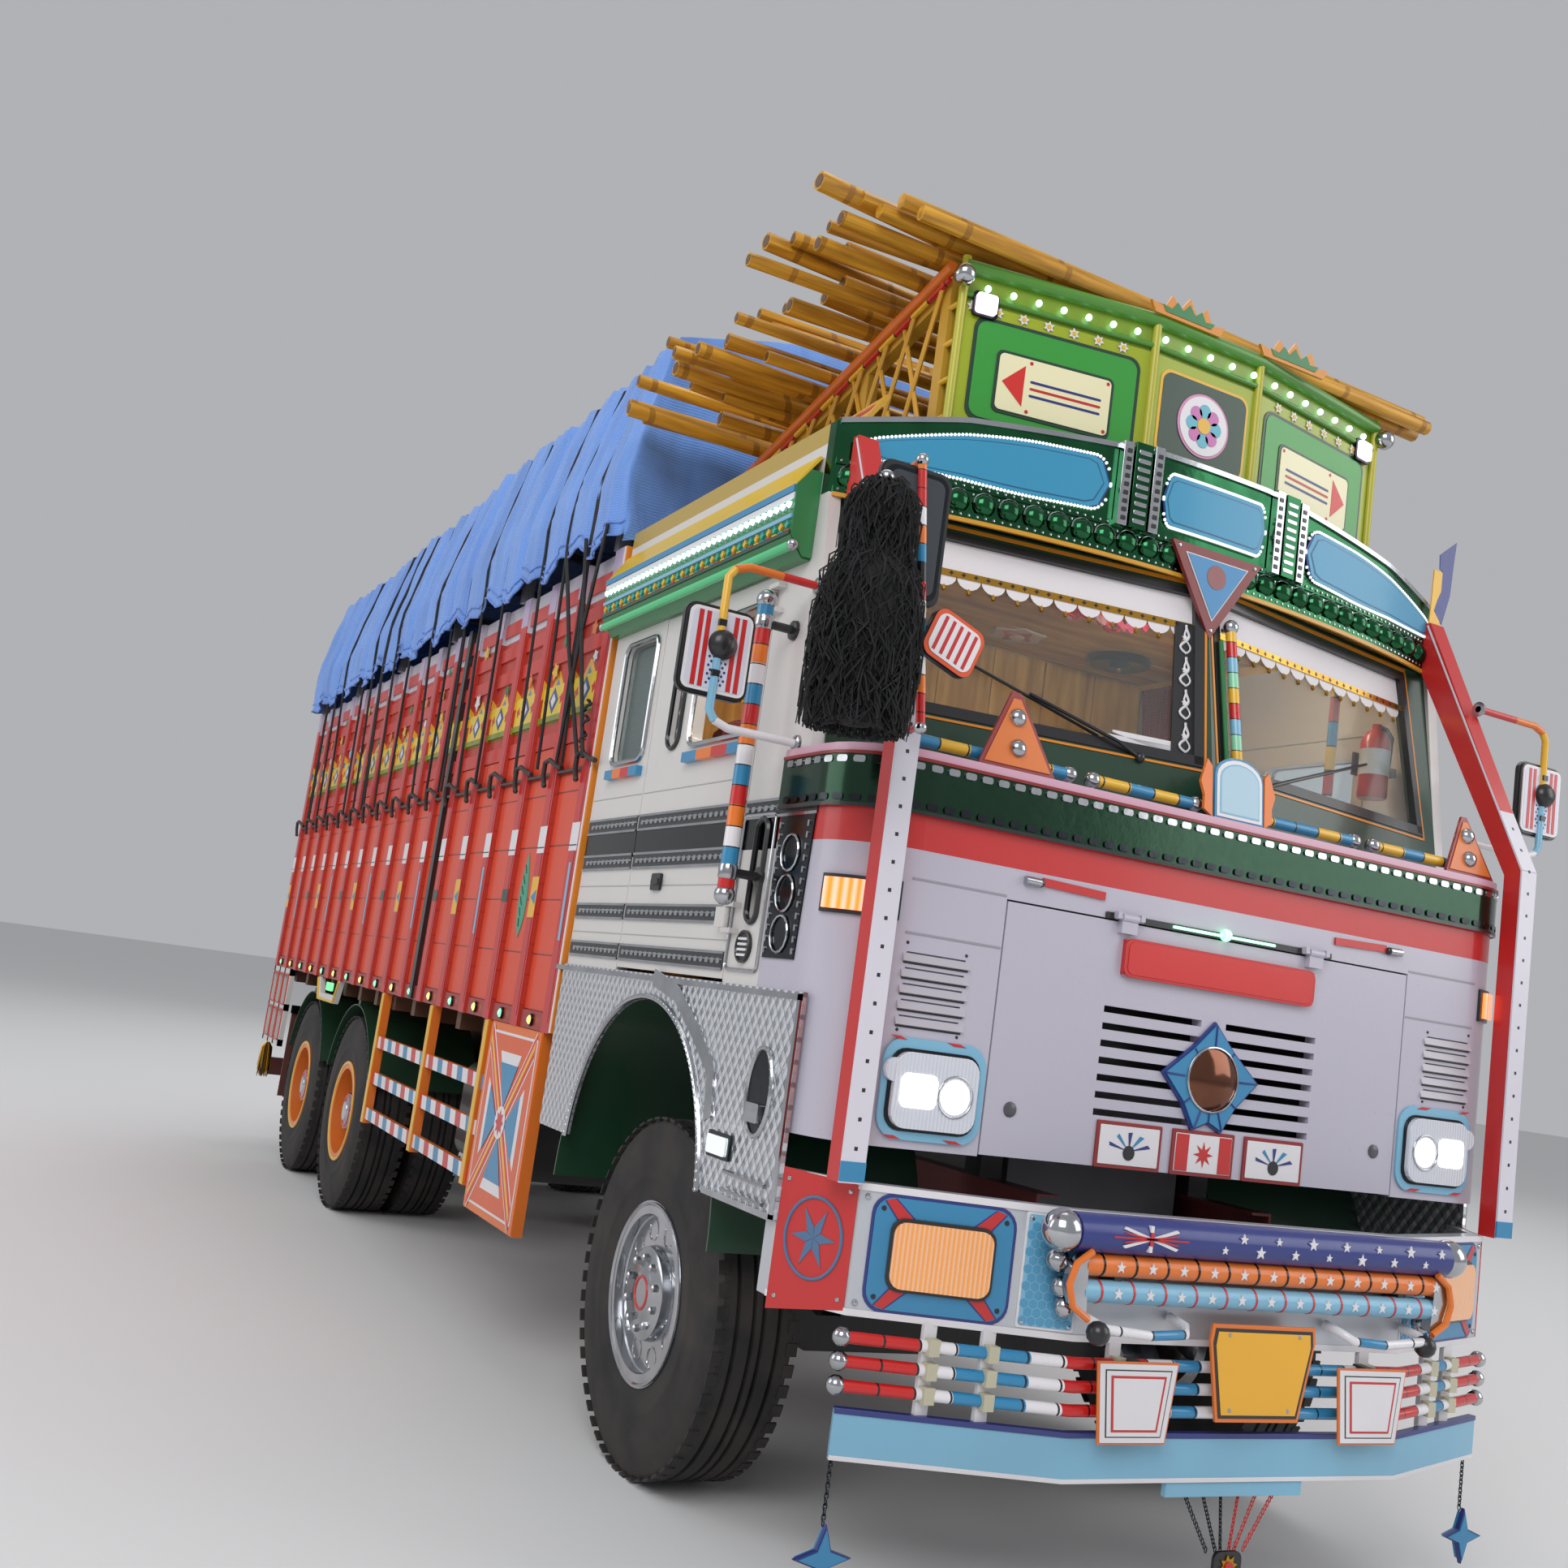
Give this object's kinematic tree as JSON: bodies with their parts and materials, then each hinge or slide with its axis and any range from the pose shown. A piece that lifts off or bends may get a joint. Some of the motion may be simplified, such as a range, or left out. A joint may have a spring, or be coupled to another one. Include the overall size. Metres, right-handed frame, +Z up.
{
  "type": "three-axle decorated goods truck",
  "caption": "Forward-control three-axle goods truck with a decorated cab, slatted load body, tarpaulin and roof rack.",
  "frame": {"origin": "on the ground under the middle of the truck's whole box", "axes": "-Y is forward, +X is the truck's left side, +Z is up"},
  "size_m": [3.2, 8.6599, 4.04],
  "materials": {
    "frame_red": "painted steel channel",
    "engine_iron": "cast iron",
    "axle_black": "black painted forging",
    "tyre": "black tyre rubber",
    "rim": "polished wheel cover",
    "twin_rim": "orange painted wheel",
    "tank": "painted tank",
    "bumper": "silver and red painted steel",
    "board_blue": "blue painted board",
    "bar_chrome": "chromed and painted tube",
    "plate": "blank painted plate",
    "cowl_white": "white painted steel",
    "lamp": "lamp lens",
    "cab_floor": "painted floor",
    "cab_white": "white painted wood and steel",
    "roof": "painted roof",
    "frame_green": "dark green lacquered frame",
    "glass": "clear glass",
    "visor_green": "green lacquered visor",
    "rack": "yellow painted steel",
    "guard": "red and white painted post",
    "rail_stripe": "striped tube",
    "mirror": "mirror in a frame",
    "seat": "padded seat cover",
    "dash": "dashboard plastic",
    "quilted": "quilted bright sheet",
    "mudguard": "dark mudguard",
    "bed_wood": "boards on steel bearers",
    "body_red": "red painted body side",
    "tarp": "blue tarpaulin",
    "hoop": "steel hoop",
    "side_guard": "orange painted guard"
  },
  "bodies": {
    "chassis": {"ladder_frame": "frame_red", "engine": "engine_iron", "driveline": "axle_black", "front_axle": "axle_black", "leaf_springs": "axle_black", "rear_axles": "axle_black", "cross_members": "frame_red", "chassis_tanks": "tank", "front_bumper": "bumper", "lower_board": "board_blue", "bull_bar": "bar_chrome", "plates": "plate", "cowl": "cowl_white", "lamps": "lamp", "cab_floor": "cab_floor", "cab_sides": "cab_white", "cab_back": "cab_white", "cab_roof": "roof", "windshield_frame": "frame_green", "cab_glass": "glass", "header_visor": "visor_green", "side_cornices": "visor_green", "roof_board": "visor_green", "roof_rack": "rack", "corner_guards": "guard", "grab_rails": "rail_stripe", "mirrors": "mirror", "seats": "seat", "dashboard": "dash", "arch_skirts": "quilted", "mudguards": "mudguard", "bed_floor": "bed_wood", "bed_bearers": "bed_wood", "bed_runners": "bed_wood", "bed_sides": "body_red", "bed_ends": "body_red", "tarp": "tarp", "tarp_hoops": "hoop", "side_guards": "side_guard", "rear_guards": "frame_red"},
    "knuckle_right": {"knuckle_right": "axle_black"},
    "knuckle_left": {"knuckle_left": "axle_black"},
    "tie_rod": {"tie_rod": "axle_black"},
    "front_wheel_right": {"front_tyre_right": "tyre", "front_rim_right": "rim"},
    "front_wheel_left": {"front_tyre_left": "tyre", "front_rim_left": "rim"},
    "mid_wheels_right": {"mid_tyres_right": "tyre", "mid_rims_right": "twin_rim"},
    "mid_wheels_left": {"mid_tyres_left": "tyre", "mid_rims_left": "twin_rim"},
    "rear_wheels_right": {"rear_tyres_right": "tyre", "rear_rims_right": "twin_rim"},
    "rear_wheels_left": {"rear_tyres_left": "tyre", "rear_rims_left": "twin_rim"},
    "door_right": {"door_right": "cab_white"},
    "door_left": {"door_left": "cab_white"},
    "front_flap": {"front_flap": "cowl_white"},
    "tailgate": {"tailgate": "body_red"}
  },
  "joints": [
    {"name": "steer_right", "type": "hinge", "parent": "chassis", "child": "knuckle_right", "pos_m": [-0.84, -2.9, 0.525], "axis": [0, 0, 1], "range_deg": [-35, 35]},
    {"name": "steer_left", "type": "hinge", "parent": "chassis", "child": "knuckle_left", "pos_m": [0.84, -2.9, 0.525], "axis": [0, 0, 1], "range_deg": [-35, 35]},
    {"name": "tie_rod_pivot", "type": "hinge", "parent": "knuckle_right", "child": "tie_rod", "pos_m": [-0.84, -2.75, 0.415], "axis": [0, 0, 1], "range_deg": [-35, 35]},
    {"name": "front_roll_right", "type": "hinge", "parent": "knuckle_right", "child": "front_wheel_right", "pos_m": [0, -2.9, 0.525], "axis": [1, 0, 0], "continuous": true},
    {"name": "front_roll_left", "type": "hinge", "parent": "knuckle_left", "child": "front_wheel_left", "pos_m": [0, -2.9, 0.525], "axis": [1, 0, 0], "continuous": true},
    {"name": "mid_roll_right", "type": "hinge", "parent": "chassis", "child": "mid_wheels_right", "pos_m": [0, 1.537, 0.525], "axis": [1, 0, 0], "continuous": true},
    {"name": "mid_roll_left", "type": "hinge", "parent": "chassis", "child": "mid_wheels_left", "pos_m": [0, 1.537, 0.525], "axis": [1, 0, 0], "continuous": true},
    {"name": "rear_roll_right", "type": "hinge", "parent": "chassis", "child": "rear_wheels_right", "pos_m": [0, 2.887, 0.525], "axis": [1, 0, 0], "continuous": true},
    {"name": "rear_roll_left", "type": "hinge", "parent": "chassis", "child": "rear_wheels_left", "pos_m": [0, 2.887, 0.525], "axis": [1, 0, 0], "continuous": true},
    {"name": "door_right_hinge", "type": "hinge", "parent": "chassis", "child": "door_right", "pos_m": [-1.243, -3.34, 2.1], "axis": [0, 0, 1], "range_deg": [0, 70]},
    {"name": "door_left_hinge", "type": "hinge", "parent": "chassis", "child": "door_left", "pos_m": [1.243, -3.34, 2.1], "axis": [0, 0, -1], "range_deg": [0, 70]},
    {"name": "flap_hinge", "type": "hinge", "parent": "chassis", "child": "front_flap", "pos_m": [0, -4.014, 1.802], "axis": [-1, 0, 0], "range_deg": [0, 80]},
    {"name": "tailgate_hinge", "type": "hinge", "parent": "chassis", "child": "tailgate", "pos_m": [0, 4.263, 1.31], "axis": [-1, 0, 0], "range_deg": [0, 90]}
  ],
  "couplings": [
    {"joint": "steer_left", "follows": "steer_right", "ratio": 1},
    {"joint": "tie_rod_pivot", "follows": "steer_right", "ratio": -1}
  ]
}
